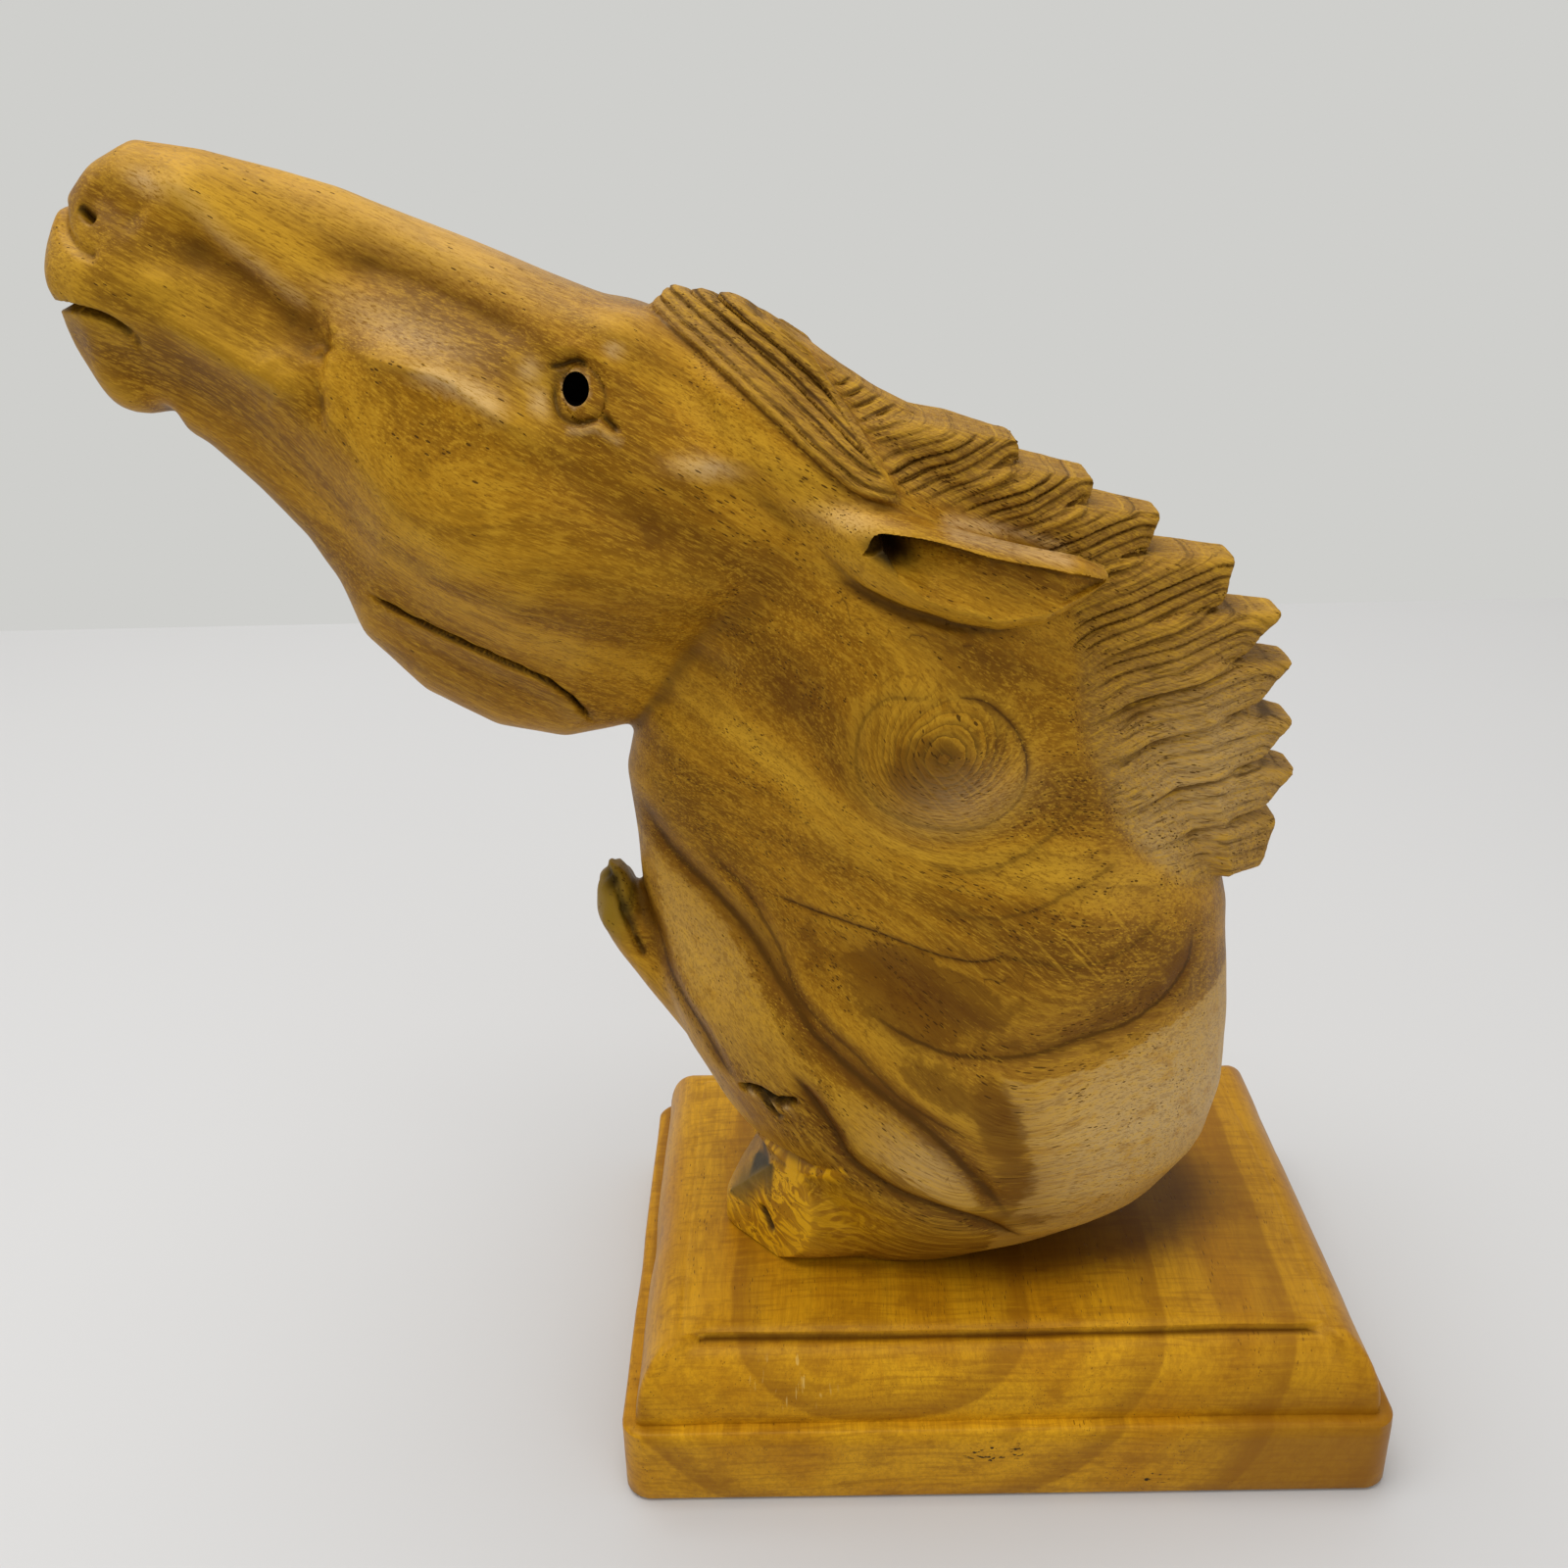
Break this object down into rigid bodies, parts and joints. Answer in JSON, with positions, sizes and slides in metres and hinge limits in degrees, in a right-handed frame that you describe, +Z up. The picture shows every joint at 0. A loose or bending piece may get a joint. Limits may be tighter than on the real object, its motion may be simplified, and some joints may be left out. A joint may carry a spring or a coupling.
{
  "type": "carved wooden horse head sculpture",
  "caption": "Carved wooden horse head with raised muzzle, saw-tooth mane and root-wood trunk, on a moulded rectangular wooden plinth.",
  "frame": {"origin": "centre of the plinth's flat underside, which stands on the table", "axes": "+Z up; the plinth's length runs along X and its depth along Y; the horse looks towards -X, its mane is towards +X, and the side that the picture shows faces -Y"},
  "size_m": [0.2048, 0.094, 0.2147],
  "materials": {
    "carving_wood": "satin oiled root wood, golden brown with dark bands, pores, a knot and a duller, unpolished mane",
    "plinth_wood": "satin varnished yellow-brown wood with broad growth bands and short dark pores"
  },
  "bodies": {
    "root": {"horse_head": "carving_wood", "plinth": "plinth_wood"}
  },
  "joints": []
}
